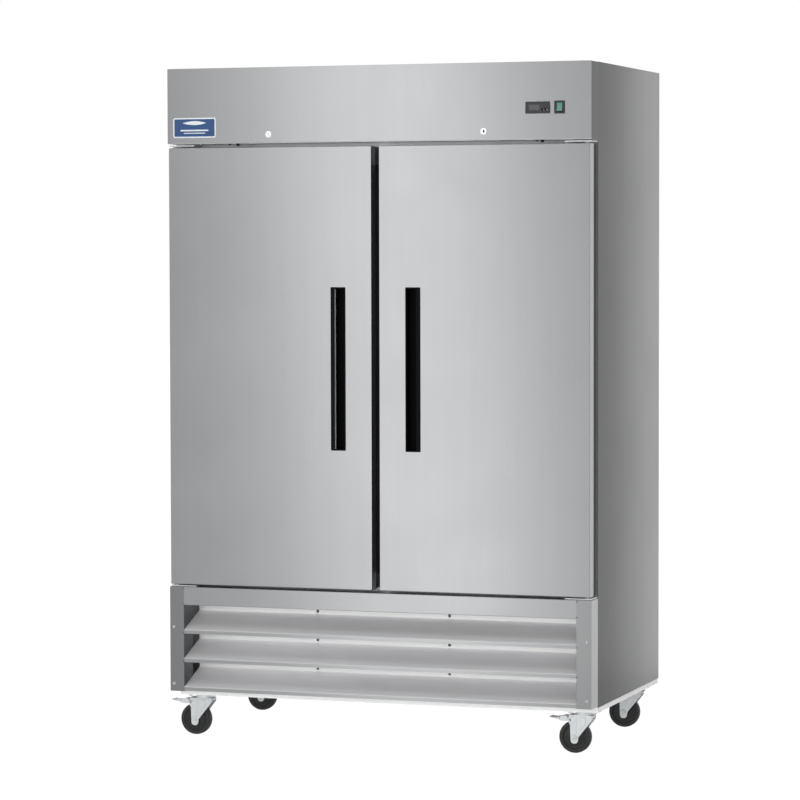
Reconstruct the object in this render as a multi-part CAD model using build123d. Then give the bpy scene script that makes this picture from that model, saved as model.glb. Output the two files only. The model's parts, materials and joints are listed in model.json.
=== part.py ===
from build123d import *
import os
from math import cos, sin, radians, pi

os.makedirs("parts", exist_ok=True)

# ---------------------------------------------------------------------------
# Two-section reach-in refrigerator, bottom-mounted refrigeration, on casters.
# Frame: origin on the floor under the middle of the cabinet, +X to the
# cabinet's right as seen from the front, +Y to the rear, +Z up. Millimetres.
# ---------------------------------------------------------------------------

# Overall envelope
width = 1372.0            # cabinet width
depth = 806.0             # front of the doors to the rear panel
height = 2102.0           # floor to the top of the cabinet
hw = width / 2
y_front = -depth / 2      # front plane of doors, header and grille
y_rear = depth / 2
y_body = y_front + 73.0   # front plane of the insulated body
sheet = 1.0               # outer sheet thickness

# Heights
z_body = 155.0            # underside of the front grille
z_side = 150.0            # underside of the side panels
z_rail = 134.0            # underside of the base rails
z_grille_top = 484.0
z_door_lo = 492.3
z_door_hi = 1855.9
z_header = 1868.0

# Insulated body
wall = 60.0               # side wall thickness
in_x = hw - wall          # half width of the storage space
in_y = y_rear - wall      # rear face of the storage space
in_floor = 540.0
in_ceiling = 2042.0
open_top = 1800.0         # top of the door openings
frame_t = 18.0            # depth of the front frame
mullion_half = 30.0
mullion_t = 30.0

# Doors
door_in = 12.75           # inner edge of each door from the middle
door_out = 682.0          # outer edge of each door
skin_depth = 38.0         # depth of the stainless door pan
panel_depth = 22.0        # depth of the plastic inner panel
gasket_t = 11.8
hinge_x = 668.0
hinge_y = y_front + 22.0
pin_r = 4.0
pin_play = 0.05

# Recessed handles (right door, mirrored for the left)
handle_x0, handle_x1 = 97.0, 145.5
handle_z0, handle_z1 = 921.0, 1424.0
pocket_depth = 30.0

# Shelves
shelf_levels = (620.0, 1000.0, 1380.0)
shelf_x0, shelf_x1 = 32.0, 616.0
shelf_y0, shelf_y1 = -285.0, 325.0

# Louvre grille
post_w = 47.0
rail_bottom = 427.0
louvre_pitch = 90.0
louvre_z = 157.0          # underside of the lowest blade's lip
lip = 12.0
blade_depth = 128.0
blade_rise = 45.5

# Casters
wheel_r = 50.0
wheel_w = 28.0
caster_x = 626.0
caster_y_front = -262.0
caster_y_rear = 313.0
trail = 29.0

# Controls on the header
ctrl = (480.0, 557.0, 1946.0, 1982.0)
switch = (570.0, 603.0, 1945.0, 1984.0)
lock_x, lock_z = 348.0, 1895.0
badge = (-666.0, -523.0, 1887.0, 1949.0)


def box(x0, x1, y0, y1, z0, z1):
    return Pos((x0 + x1) / 2, (y0 + y1) / 2, (z0 + z1) / 2) * Box(
        abs(x1 - x0), abs(y1 - y0), abs(z1 - z0)
    )


def zcyl(x, y, r, z0, z1):
    return Pos(x, y, (z0 + z1) / 2) * Cylinder(r, z1 - z0)


def ycyl(x, z, r, y0, y1):
    return Pos(x, (y0 + y1) / 2, z) * Rot(90, 0, 0) * Cylinder(r, y1 - y0)


def xcyl(y, z, r, x0, x1):
    return Pos((x0 + x1) / 2, y, z) * Rot(0, 90, 0) * Cylinder(r, x1 - x0)


def prism_x(points, x0, x1):
    """Polygon in the Y-Z plane, drawn out along X."""
    face = Face(Wire.make_polygon([Vector(x0, y, z) for y, z in points], close=True))
    return Solid.extrude(face, Vector(x1 - x0, 0, 0))


def prism_y(points, y0, y1):
    """Polygon in the X-Z plane, drawn out along Y."""
    face = Face(Wire.make_polygon([Vector(x, y0, z) for x, z in points], close=True))
    return Solid.extrude(face, Vector(0, y1 - y0, 0))


def round_plate(x0, x1, z0, z1, r, y0, y1):
    """Rounded rectangle in the X-Z plane, drawn out along Y."""
    body = box(x0, x1, y0, y1, z0, z1)
    return fillet(body.edges().filter_by(Axis.Y), r)


def solids_of(items):
    out = []
    for item in items:
        out.extend(item.solids())
    return out


def save(name, *items):
    parts = solids_of(items)
    shape = parts[0] if len(parts) == 1 else Compound(children=parts)
    export_step(shape, os.path.join("parts", name + ".step"))
    print(name, len(parts))


def left_of(shape):
    return mirror(shape, about=Plane.YZ)


# ---------------------------------------------------------------------------
# Cabinet body
# ---------------------------------------------------------------------------
side_right = box(hw - sheet, hw, y_body, y_rear, z_side, height) + box(
    hw - 20, hw, y_rear - sheet, y_rear, z_side, height
)
save("side_panel_right", side_right)
save("side_panel_left", left_of(side_right))

tray = box(-hw + sheet, hw - sheet, y_body, y_rear - sheet, height - 15, height) - box(
    -hw + 2 * sheet, hw - 2 * sheet, y_body + sheet, y_rear - 2 * sheet, height - 16, height - sheet
)
save("top_panel", tray)
save("rear_panel", box(-hw + 20, hw - 20, y_rear - sheet, y_rear, z_grille_top, height - 15))

y_ins0 = y_body + frame_t
foam = [
    box(-hw + sheet, -in_x - 1, y_ins0, y_rear - 2 * sheet, z_grille_top + 2, in_ceiling + 1),
    box(in_x + 1, hw - sheet, y_ins0, y_rear - 2 * sheet, z_grille_top + 2, in_ceiling + 1),
    box(-in_x - 1, in_x + 1, in_y + 1, y_rear - 2 * sheet, z_grille_top + 2, in_ceiling + 1),
    box(-in_x - 1, in_x + 1, y_ins0, in_y + 1, z_grille_top + 2, in_floor - 1),
    box(-hw + 2 * sheet, hw - 2 * sheet, y_ins0, y_rear - 2 * sheet, in_ceiling + 1, height - sheet),
]
save("cabinet_insulation", *foam)

liner = [
    box(-in_x - 1, -in_x, y_ins0, in_y + 1, in_floor - 1, in_ceiling + 1),
    box(in_x, in_x + 1, y_ins0, in_y + 1, in_floor - 1, in_ceiling + 1),
    box(-in_x, in_x, in_y, in_y + 1, in_floor - 1, in_ceiling + 1),
    box(-in_x, in_x, y_ins0, in_y, in_floor - 1, in_floor),
    box(-in_x, in_x, y_ins0, in_y, in_ceiling, in_ceiling + 1),
]
save("inner_liner", *liner)

stile = box(in_x, hw - sheet, y_body, y_ins0, z_grille_top, height - 15)
body_frame = [
    stile,
    left_of(stile),
    box(-in_x, in_x, y_body, y_ins0, z_grille_top, in_floor),
    box(-in_x, in_x, y_body, y_ins0, open_top, height - 15),
    box(-hw + sheet, hw - sheet, y_ins0, y_rear - 2 * sheet, z_grille_top, z_grille_top + 2),
]
# centre mullion between the two door openings
body_frame.append(box(-mullion_half, mullion_half, y_body, y_body + mullion_t, in_floor, open_top))
save("body_frame", *body_frame)

# ---------------------------------------------------------------------------
# Base frame: four box-section rails and the compartment deck
# ---------------------------------------------------------------------------
rail_x = hw - 2.0


def tube(x0, x1, y0, y1, z0, z1, axis, t=2.0):
    outer = box(x0, x1, y0, y1, z0, z1)
    if axis == "X":
        # closed at both ends, with a drain hole near each end of the underside
        inner = box(x0 + t, x1 - t, y0 + t, y1 - t, z0 + t, z1 - t)
        for x in (x0 + 165, x1 - 165):
            inner += zcyl(x, (y0 + y1) / 2, 4.0, z0 - 1, z0 + t + 1)
    else:
        inner = box(x0 + t, x1 - t, y0 - 1, y1 + 1, z0 + t, z1 - t)
    return outer - inner


base = [
    tube(-rail_x, rail_x, y_body + 4, y_body + 44, z_rail, z_body, "X"),
    tube(-rail_x, rail_x, y_rear - 45, y_rear - 5, z_rail, z_body, "X"),
    tube(rail_x - 110, rail_x, y_body + 44, y_rear - 45, z_rail, z_body, "Y"),
    tube(-rail_x, -rail_x + 110, y_body + 44, y_rear - 45, z_rail, z_body, "Y"),
    box(-rail_x, rail_x, y_body + 1, y_rear - 2 * sheet, z_body, z_body + 2),
]
save("base_frame", *base)

# ---------------------------------------------------------------------------
# Header: a folded pan closed on five sides, open to the body behind it
# ---------------------------------------------------------------------------
header = box(-hw, hw, y_front, y_body, z_header, height) - box(
    -hw + sheet, hw - sheet, y_front + sheet, y_body + 1, z_header + sheet, height - sheet
)
header -= box(ctrl[0] + 3, ctrl[1] - 3, y_front - 1, y_front + 2, ctrl[2] + 3.5, ctrl[3] - 3.5)
header -= box(switch[0] + 3, switch[1] - 3, y_front - 1, y_front + 2, switch[2] + 3, switch[3] - 3)
for s in (-1, 1):
    header -= ycyl(s * lock_x, lock_z, 8.0, y_front - 1, y_front + 2)
    # slot that the lock's cam swings down through
    header -= box(s * lock_x - 7, s * lock_x + 41.5, y_front + 19.5, y_front + 25.5, z_header - 1, z_header + 2)
    # notch round the top hinge bracket's flange
    header -= box(s * 598.5, s * 685.0, y_body - 6, y_body + 1, z_header - 1, z_header + 2)
save("header_panel", header)

save("badge_plate", round_plate(badge[0], badge[1], badge[2], badge[3], 6.0, y_front - 1.2, y_front))

# Temperature controller: bezel, body, window and two keys
cx0, cx1, cz0, cz1 = ctrl
ctrl_body = round_plate(cx0, cx1, cz0, cz1, 3.0, y_front - 2.0, y_front)
ctrl_body += box(cx0 + 3.2, cx1 - 3.2, y_front, y_front + 56, cz0 + 3.7, cz1 - 3.7)
window = box(cx0 + 8, cx0 + 50, y_front - 1.8, y_front - 0.8, cz0 + 7, cz1 - 6)
ctrl_body -= box(cx0 + 8, cx0 + 50, y_front - 3, y_front - 0.8, cz0 + 7, cz1 - 6)
key_pos = [(cx0 + 58.5, cz0 + 12.0), (cx0 + 68.0, cz0 + 12.0)]
keys = []
for kx, kz in key_pos:
    ctrl_body -= box(kx - 3.6, kx + 3.6, y_front - 3, y_front + 5, kz - 2.9, kz + 2.9)
    key = box(kx - 3.3, kx + 3.3, y_front - 3.0, y_front + 2.0, kz - 2.6, kz + 2.6)
    keys.append(fillet(key.edges().filter_by(Axis.Y), 1.5))
save("controller_housing", ctrl_body, window)
save("controller_key_left", keys[0])
save("controller_key_right", keys[1])

# Power switch: bezel with its body, and the rocker
sx0, sx1, sz0, sz1 = switch
scx, scz = (sx0 + sx1) / 2, (sz0 + sz1) / 2
rocker_y = y_front + 5.0
bezel = round_plate(sx0, sx1, sz0, sz1, 2.5, y_front - 2.0, y_front)
bezel += box(sx0 + 3.2, sx1 - 3.2, y_front, y_front + 26, sz0 + 3.2, sz1 - 3.2)
bezel -= box(scx - 8.8, scx + 8.8, y_front - 3, y_front + 16, scz - 14, scz + 14)
# holes for the rocker's pivot stubs
bezel -= xcyl(y_front + 5.0, scz, 1.26, scx - 10.2, scx + 10.2)
save("switch_bezel", bezel)
rocker_tilt = 8.0
rk = [(7.4, -12.6), (5.6, 0.0), (7.4, 12.6), (2.0, 12.9), (-4.0, 5.0), (-4.0, -5.0), (2.0, -12.9)]
ra = radians(rocker_tilt)
rk_pts = []
for u, w in rk:
    uu = u * cos(ra) - w * sin(ra)
    ww = u * sin(ra) + w * cos(ra)
    rk_pts.append((rocker_y - uu, scz + ww))
rocker = prism_x(rk_pts, scx - 8.5, scx + 8.5) + xcyl(rocker_y, scz, 1.2, scx - 10.0, scx + 10.0)
save("power_rocker", rocker)

# Door locks in the header: fixed bodies, turning cylinders with cams
cam_len = 47.0
bodies = []
for s, name in ((-1, "left"), (1, "right")):
    lx = s * lock_x
    shell = ycyl(lx, lock_z, 9.8, y_front - 2, y_front) + ycyl(lx, lock_z, 7.9, y_front, y_front + 20)
    shell -= ycyl(lx, lock_z, 5.56, y_front - 3, y_front + 21)
    bodies.append(shell)
    plug = ycyl(lx, lock_z, 5.5, y_front - 4, y_front + 21)
    plug -= box(lx - 0.7, lx + 0.7, y_front - 5, y_front + 6, lock_z - 3.4, lock_z + 3.4)
    plug += round_plate(lx - 6, lx + cam_len, lock_z - 6, lock_z + 6, 3.0, y_front + 21, y_front + 24)
    save("lock_cylinder_" + name, plug)
save("lock_bodies", *bodies)

# ---------------------------------------------------------------------------
# Hinge brackets: plates in the gaps over and under each door, with pins
# ---------------------------------------------------------------------------
top_bracket = (
    box(600, 684, y_front + 9, y_body, 1860.5, 1864.5)
    + box(600, 684, y_body - 4, y_body, 1864.5, 1896)
    + zcyl(hinge_x, hinge_y, 7.0, 1857.4, 1860.5)
    + zcyl(hinge_x, hinge_y, pin_r, 1836, 1857.4)
)
low_bracket = (
    box(600, 684, y_front + 9, y_body, 484.5, 488.5)
    + box(600, 684, y_body - 4, y_body, 450, 484.5)
    + zcyl(hinge_x, hinge_y, 7.0, 488.5, 490.8)
    + zcyl(hinge_x, hinge_y, pin_r, 490.8, 512)
)
save("hinge_brackets", top_bracket, low_bracket, left_of(top_bracket), left_of(low_bracket))

# ---------------------------------------------------------------------------
# Doors (built on the right, mirrored for the left)
# ---------------------------------------------------------------------------
y_skin = y_front + skin_depth
y_panel = y_skin + panel_depth

skin = box(door_in, door_out, y_front, y_skin, z_door_lo, z_door_hi) - box(
    door_in + sheet, door_out - sheet, y_front + sheet, y_skin + 1, z_door_lo + sheet, z_door_hi - sheet
)
pocket = (handle_x0 + 1.5, handle_x1 - 1.5, handle_z0 + 1.5, handle_z1 - 1.5)
skin -= box(pocket[0], pocket[1], y_front - 1, y_front + 2, pocket[2], pocket[3])
skin -= zcyl(hinge_x, hinge_y, 8.0, z_door_lo - 1, z_door_lo + 2)
skin -= zcyl(hinge_x, hinge_y, 8.0, z_door_hi - 2, z_door_hi + 1)


def cam_slot(s, z0, z1):
    # slot for the lock cam in the top of a door; the cam always swings from +X
    return box(s * lock_x - 7, s * lock_x + 29, y_front + 19.5, y_front + 25.5, z0, z1)


recess = (door_in + 49, door_out - 49, z_door_lo + 48, z_door_hi - 48)
pan_out = box(door_in + 2, door_out - 2, y_skin, y_panel, z_door_lo + 2, z_door_hi - 2)
step_out = box(recess[0], recess[1], y_panel - 8, y_panel + 1, recess[2], recess[3])
step_out = fillet(step_out.edges().filter_by(Axis.Y), 22)
pan_in = box(door_in + 4, door_out - 4, y_skin - 1, y_panel - 2, z_door_lo + 4, z_door_hi - 4)
step_in = box(recess[0] - 2, recess[1] + 2, y_panel - 10, y_panel - 1, recess[2] - 2, recess[3] + 2)
step_in = fillet(step_in.edges().filter_by(Axis.Y), 24)
inner_panel = (pan_out - step_out) - (pan_in - step_in)

# foam slabs: beside, above, below and behind the pocket, and one layer inside the inner panel
y_pocket = y_front + pocket_depth + 2
foam_lo, foam_hi = z_door_lo + sheet, z_door_hi - sheet
door_foam = [
    box(door_in + sheet, pocket[0], y_front + sheet, y_skin, foam_lo, foam_hi),
    box(pocket[1], door_out - sheet, y_front + sheet, y_skin, foam_lo, foam_hi),
    box(pocket[0], pocket[1], y_front + sheet, y_skin, pocket[3], foam_hi),
    box(pocket[0], pocket[1], y_front + sheet, y_skin, foam_lo, pocket[2]),
    box(pocket[0], pocket[1], y_pocket, y_skin, pocket[2], pocket[3]),
    box(door_in + 4, door_out - 4, y_skin, y_panel - 2, z_door_lo + 4, z_door_hi - 4) - step_in,
]
bush_holes = zcyl(hinge_x, hinge_y, 8.0, z_door_lo, z_door_lo + 25.2) + zcyl(hinge_x, hinge_y, 8.0, z_door_hi - 25.2, z_door_hi)
door_foam[1] -= bush_holes
if hinge_y + 8.0 > y_skin:
    door_foam[5] -= bush_holes

# Gasket: magnetic bellows strip, as a mitred ring
gx0, gx1, gz0, gz1 = door_in + 9, door_out - 9, z_door_lo + 9, z_door_hi - 9
gw = 22.0


def ring(x0, x1, z0, z1, w, y0, y1):
    return box(x0, x1, y0, y1, z0, z1) - box(x0 + w, x1 - w, y0 - 1, y1 + 1, z0 + w, z1 - w)


gasket = ring(gx0, gx1, gz0, gz1, gw, y_panel, y_panel + gasket_t - 4)
gasket += ring(gx0 + 1.5, gx1 - 1.5, gz0 + 1.5, gz1 - 1.5, 14.0, y_panel + gasket_t - 4, y_panel + gasket_t)

# Handle: flange, pocket and a finger lip along the hinge side
hx0, hx1 = handle_x0, handle_x1
handle = round_plate(hx0, hx1, handle_z0, handle_z1, 3.0, y_front - 1.2, y_front)
handle += box(pocket[0], pocket[1], y_front, y_front + pocket_depth + 2, pocket[2], pocket[3])
handle -= box(hx0 + 4, hx1 - 14, y_front - 2, y_front + pocket_depth, handle_z0 + 4.5, handle_z1 - 4.5)
handle -= box(hx0 + 4, hx1 - 3.5, y_front + 9, y_front + pocket_depth, handle_z0 + 4.5, handle_z1 - 4.5)
# its walls: two ends, back, latch side, finger lip and hinge side
ya, yb = y_front - 2, y_front + pocket_depth + 3
za, zb = handle_z0 + 4.5, handle_z1 - 4.5
handle_walls = [
    handle & box(hx0 - 1, hx1 + 1, ya, yb, zb, handle_z1 + 1),
    handle & box(hx0 - 1, hx1 + 1, ya, yb, handle_z0 - 1, za),
    handle & box(hx0 - 1, hx1 + 1, y_front + pocket_depth, yb, za, zb),
    handle & box(hx0 - 1, hx0 + 4, ya, y_front + pocket_depth, za, zb),
    handle & box(hx1 - 14, hx1 + 1, ya, y_front + 9, za, zb),
    handle & box(hx1 - 3.5, hx1 + 1, y_front + 9, y_front + pocket_depth, za, zb),
]

bush_lo = zcyl(hinge_x, hinge_y, 8.0, z_door_lo, z_door_lo + 25) + zcyl(hinge_x, hinge_y, 11.0, z_door_lo - 1.2, z_door_lo)
bush_lo -= zcyl(hinge_x, hinge_y, pin_r + pin_play, z_door_lo - 2, z_door_lo + 21.5)
bush_hi = zcyl(hinge_x, hinge_y, 8.0, z_door_hi - 25, z_door_hi) + zcyl(hinge_x, hinge_y, 11.0, z_door_hi, z_door_hi + 1.2)
bush_hi -= zcyl(hinge_x, hinge_y, pin_r + pin_play, z_door_hi - 21.5, z_door_hi + 2)

for s, side in ((-1, "left"), (1, "right")):
    flip = left_of if s < 0 else (lambda q: q)
    save(side + "_door_skin", flip(skin) - cam_slot(s, z_door_hi - 2, z_door_hi + 1))
    slot = cam_slot(s, z_door_hi - 12, z_door_hi)
    slabs = [flip(q) for q in door_foam]
    save(side + "_door_insulation", *[q - slot if i in (0, 1) else q for i, q in enumerate(slabs)])
    save(side + "_door_inner_panel", flip(inner_panel), flip(bush_lo), flip(bush_hi))
    save(side + "_door_gasket", flip(gasket))
    save(side + "_door_handle", *[flip(q) for q in handle_walls])

# ---------------------------------------------------------------------------
# Interior: pilasters with clips, wire shelves, light
# ---------------------------------------------------------------------------
pil_z0, pil_z1 = 560.0, 1780.0


def pilaster(x0, x1, y0, y1):
    strip = box(x0, x1, y0, y1, pil_z0, pil_z1)
    yc = (y0 + y1) / 2
    slots = []
    n = int((pil_z1 - pil_z0 - 40) // 50.8)
    for k in range(n + 1):
        zc = pil_z0 + 20 + k * 50.8
        slots.append(box(x0 - 1, x1 + 1, yc - 3, yc + 3, zc, zc + 12))
    return strip - slots


right_side_strips = [
    (in_x - 6, in_x, -262.0, -237.0, -1),
    (in_x - 6, in_x, 270.0, 295.0, -1),
    (22.0, 28.0, y_body + mullion_t, y_body + mullion_t + 25, 1),
    (22.0, 28.0, in_y - 25, in_y, 1),
]
strips, clips = [], []
for x0, x1, y0, y1, d in right_side_strips:
    strips.append(pilaster(x0, x1, y0, y1))
    yc = (y0 + y1) / 2
    for z in shelf_levels:
        if d < 0:
            clip = box(x0 - 14, x0, yc - 8, yc + 8, z - 6.5, z - 3.6) + box(x0 - 3, x0, yc - 8, yc + 8, z - 20, z - 3.6)
        else:
            clip = box(x1, x1 + 14, yc - 8, yc + 8, z - 6.5, z - 3.6) + box(x1, x1 + 3, yc - 8, yc + 8, z - 20, z - 3.6)
        clips.append(clip)
save("shelf_pilasters_and_clips", *strips, *[left_of(s) for s in strips], *clips, *[left_of(c) for c in clips])

# Wire shelf: perimeter rod, two cross rods and the deck wires, welded together
rod_r, wire_r = 3.5, 1.9
n_wires = 23
px0, px1 = shelf_x0 + rod_r, shelf_x1 - rod_r
py0, py1 = shelf_y0 + rod_r, shelf_y1 - rod_r
rods = [
    Pos((px0 + px1) / 2, py0, 0) * Rot(0, 90, 0) * Cylinder(rod_r, px1 - px0),
    Pos((px0 + px1) / 2, py1, 0) * Rot(0, 90, 0) * Cylinder(rod_r, px1 - px0),
    Pos(px0, (py0 + py1) / 2, 0) * Rot(90, 0, 0) * Cylinder(rod_r, py1 - py0),
    Pos(px1, (py0 + py1) / 2, 0) * Rot(90, 0, 0) * Cylinder(rod_r, py1 - py0),
]
rods += [Pos(x, y, 0) * Sphere(rod_r) for x in (px0, px1) for y in (py0, py1)]
rods += [
    Pos((px0 + px1) / 2, y, 0.6) * Rot(0, 90, 0) * Cylinder(2.9, px1 - px0 - 1)
    for y in (py0 + (py1 - py0) / 3, py0 + 2 * (py1 - py0) / 3)
]
wire_z = rod_r + wire_r - 0.6
wires = []
for k in range(n_wires):
    x = px0 + (px1 - px0) * (k + 0.5) / n_wires
    wires.append(Pos(x, (py0 + py1) / 2, wire_z) * Rot(90, 0, 0) * Cylinder(wire_r, py1 - py0 + 2))
shelf = rods[0].fuse(*rods[1:]).fuse(*wires)
for n, z in enumerate(shelf_levels, 1):
    save("shelf_right_%d" % n, Pos(0, 0, z) * shelf)
    save("shelf_left_%d" % n, Pos(shelf_x0 * -1 - shelf_x1, 0, z) * shelf)

light = box(-230, 230, -296, -256, in_ceiling - 22, in_ceiling)
light = light - box(-226, 226, -292, -260, in_ceiling - 23, in_ceiling - 8)
save("interior_light", light, box(-226, 226, -292, -260, in_ceiling - 25, in_ceiling - 8))

# ---------------------------------------------------------------------------
# Evaporator section under the ceiling
# ---------------------------------------------------------------------------
ev_x, ev_y0, ev_z0 = 420.0, -60.0, 1850.0
fan_z = 1948.0
cover = box(-ev_x, ev_x, ev_y0, in_y, ev_z0, in_ceiling) - box(
    -ev_x + 1.2, ev_x - 1.2, ev_y0 + 1.2, in_y + 1, ev_z0 - 1, in_ceiling + 1
)
cover -= ycyl(0, fan_z, 82, ev_y0 - 1, ev_y0 + 3)
guard = []
for r in (20, 40, 60, 79):
    guard.append(Pos(0, ev_y0 + 1.5, fan_z) * Rot(90, 0, 0) * Torus(r, 1.4))
for a in range(0, 180, 45):
    guard.append(Pos(0, ev_y0 + 1.5, fan_z) * Rot(0, a, 0) * box(-84, 84, -1.2, 1.2, -1.2, 1.2))
cover = cover.fuse(*guard)
save("evaporator_cover", cover)

coil = [box(-380, 380, 150, 320, 1888, 2026)]
for i in range(9):
    x = -360 + i * 90
    coil[0] -= box(x - 3, x + 3, 149, 156, 1880, 2030)
ends = []
for i in range(4):
    for j in range(3):
        ends.append(Pos(380, 180 + i * 36, 1905 + j * 50) * Rot(0, 90, 0) * Cylinder(5, 26, align=(Align.CENTER, Align.CENTER, Align.MIN)))
motor = ycyl(0, fan_z, 32, ev_y0 + 42, ev_y0 + 100) + box(-110, 110, ev_y0 + 100, ev_y0 + 104, fan_z - 12, fan_z + 12)
motor += ycyl(0, fan_z, 4, ev_y0 + 12, ev_y0 + 42)
save("evaporator_unit", coil[0], *ends, motor)


def fan(x, y, z, radius, hub_r, blades, chord, bore_r, length=22.0, pitch=28.0):
    body = ycyl(x, z, hub_r, y - length / 2, y + length / 2)
    for k in range(blades):
        blade = Pos(0, 0, (radius + hub_r) / 2 - 1) * Rot(0, 0, pitch) * Box(chord, 2.2, radius - hub_r + 6)
        body += Pos(x, y, z) * Rot(0, 360.0 * k / blades, 0) * blade
    body = body & ycyl(x, z, radius, y - 40, y + 40)
    return body - ycyl(x, z, bore_r, y - length, y + length)


save("evaporator_fan", fan(0, ev_y0 + 24, fan_z, 74, 18, 5, 40, 4.06))

# ---------------------------------------------------------------------------
# Condensing unit on the deck
# ---------------------------------------------------------------------------
deck_z = z_body + 2
cc_x0, cc_x1, cc_y0, cc_y1 = -520.0, -120.0, -262.0, -214.0
cc_z0, cc_z1 = deck_z + 8, 450.0
ccx, ccz = (cc_x0 + cc_x1) / 2, 312.0
core = box(cc_x0, cc_x1, cc_y0, cc_y1, cc_z0, cc_z1)
for i in range(15):
    x = cc_x0 + 20 + i * 25.7
    core -= box(x - 2, x + 2, cc_y0 - 1, cc_y0 + 5, cc_z0 - 1, cc_z1 + 1)
shroud = box(cc_x0, cc_x1, cc_y1, cc_y1 + 60, deck_z, cc_z1) - box(
    cc_x0 + 2, cc_x1 - 2, cc_y1 - 1, cc_y1 + 58, deck_z + 2, cc_z1 - 2
)
shroud -= ycyl(ccx, ccz, 122, cc_y1 + 50, cc_y1 + 70)
c_motor = ycyl(ccx, ccz, 42, cc_y1 + 100, cc_y1 + 170) + ycyl(ccx, ccz, 5, cc_y1 + 62, cc_y1 + 100)
c_motor += box(ccx - 14, ccx + 14, cc_y1 + 140, cc_y1 + 160, deck_z, ccz - 30)
save("condenser_unit", core, shroud, c_motor)
save("condenser_fan", fan(ccx, cc_y1 + 78, ccz, 114, 24, 5, 62, 5.06))

comp_x, comp_y = 300.0, 40.0
prof = [(0, 0), (88, 0), (98, 18), (98, 128), (92, 154), (72, 180), (38, 192), (0, 196)]
comp_face = Face(Wire.make_polygon([Vector(x, 0, z) for x, z in prof], close=True))
dome = Solid.revolve(comp_face, 360, Axis.Z)
compressor = Pos(comp_x, comp_y, deck_z + 20) * dome
compressor += box(comp_x - 120, comp_x + 120, comp_y - 90, comp_y + 90, deck_z + 16, deck_z + 20)
compressor += box(comp_x + 80, comp_x + 128, comp_y - 32, comp_y + 32, deck_z + 70, deck_z + 150)
compressor += zcyl(comp_x - 60, comp_y, 8.5, deck_z + 190, deck_z + 226)
compressor += zcyl(comp_x + 10, comp_y - 60, 6.5, deck_z + 190, deck_z + 226)
feet = []
for dx in (-104, 104):
    for dy in (-74, 74):
        feet.append(zcyl(comp_x + dx, comp_y + dy, 13, deck_z, deck_z + 16))
save("compressor", compressor, *feet)


def pipe(points, r, bend):
    path = FilletPolyline(*points, radius=bend)
    start = Plane(origin=path @ 0, z_dir=path % 0)
    return sweep(start * Circle(r), path=path)


lines = [
    pipe([(comp_x - 60, comp_y, deck_z + 226), (comp_x - 60, comp_y, 440), (comp_x - 60, 300, 440), (40, 300, 440), (40, 300, 483)], 6.0, 26),
    pipe([(comp_x + 10, comp_y - 60, deck_z + 226), (comp_x + 10, comp_y - 60, 420), (-60, comp_y - 60, 420), (-60, cc_y0 + 24, 420), (cc_x1 + 1, cc_y0 + 24, 420)], 4.0, 22),
    pipe([(cc_x1 + 1, cc_y0 + 24, 200), (-40, cc_y0 + 24, 200), (-40, 40, 200)], 3.5, 20),
    ycyl(-40, 200, 14, 40, 150),
    pipe([(-40, 150, 200), (-40, 320, 200), (-40, 320, 483)], 2.5, 22),
]
save("refrigerant_lines", *lines)

pan = box(-460, -140, 120, 340, deck_z, deck_z + 62) - box(-458, -142, 122, 338, deck_z + 2, deck_z + 63)
save("condensate_pan", pan)

# ---------------------------------------------------------------------------
# Rear grille, cord gland and the front louvre grille
# ---------------------------------------------------------------------------
rear = box(-hw + 20, hw - 20, y_rear - sheet, y_rear, deck_z, z_grille_top)
slots = []
for i in range(8):
    for j in range(7):
        x = -560 + i * 140
        z = 205 + j * 36
        if x > 380 and j < 3:
            continue
        slots.append(box(x, x + 110, y_rear - 2, y_rear + 1, z, z + 9))
gland_x, gland_z = 560.0, 228.0
rear = rear - slots - ycyl(gland_x, gland_z, 9.0, y_rear - 2, y_rear + 1)
save("rear_grille", rear)
gland = ycyl(gland_x, gland_z, 9.0, y_rear - 9, y_rear + 4) + ycyl(gland_x, gland_z, 13.0, y_rear, y_rear + 3.5)
gland += ycyl(gland_x, gland_z, 12.0, y_rear - 9, y_rear - 4)
gland -= ycyl(gland_x, gland_z, 4.6, y_rear - 20, y_rear + 20)
save("cord_gland", gland)

post = box(hw - post_w, hw, y_front, y_body, z_body, z_grille_top - 1) - box(
    hw - post_w + sheet, hw - sheet, y_front + sheet, y_body + 1, z_body - 1, z_grille_top
)
post -= box(598.5, 685.0, y_body - 6, y_body + 1, 448, z_grille_top)
# small slots for the blade tabs down the inner edge of the post
for z in (479.0, 431.7, 339.7, 250.2):
    post -= box(640.0, 642.2, y_front - 1, y_front + 2, z - 2.2, z + 2.2)
cap = box(-hw, hw, y_front, y_body, z_grille_top - 1, z_grille_top)
for s in (-1, 1):
    cap -= box(s * 598.5, s * 685.0, y_body - 6, y_body + 1, z_grille_top - 2, z_grille_top + 1)
top_rail = box(-hw + post_w, hw - post_w, y_front, y_front + sheet, rail_bottom, z_grille_top - 1)
top_rail += box(-hw + post_w, hw - post_w, y_front, y_front + 12, rail_bottom, rail_bottom + sheet)
blades = []
bx = hw - post_w - 0.2
for k in range(3):
    z0 = louvre_z + k * louvre_pitch
    zr = z0 + lip + blade_rise
    yr = y_front + blade_depth
    pts = [
        (y_front, z0), (y_front + 1, z0), (y_front + 1, z0 + lip - 0.6), (yr, zr - 1.0),
        (yr, zr + 20.5), (yr - 1, zr + 20.5), (yr - 1, zr - 0.2), (y_front, z0 + lip),
    ]
    blade = prism_x(pts, -bx, bx)
    # two clip notches in the upstand along the back of the blade
    for x in (-238.0, 196.0):
        blade -= box(x - 4, x + 4, yr - 2, yr + 1, zr + 8.5, zr + 21.5)
    blades.append(blade)
save("louvre_grille", post, left_of(post), cap, top_rail, *blades)

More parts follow.
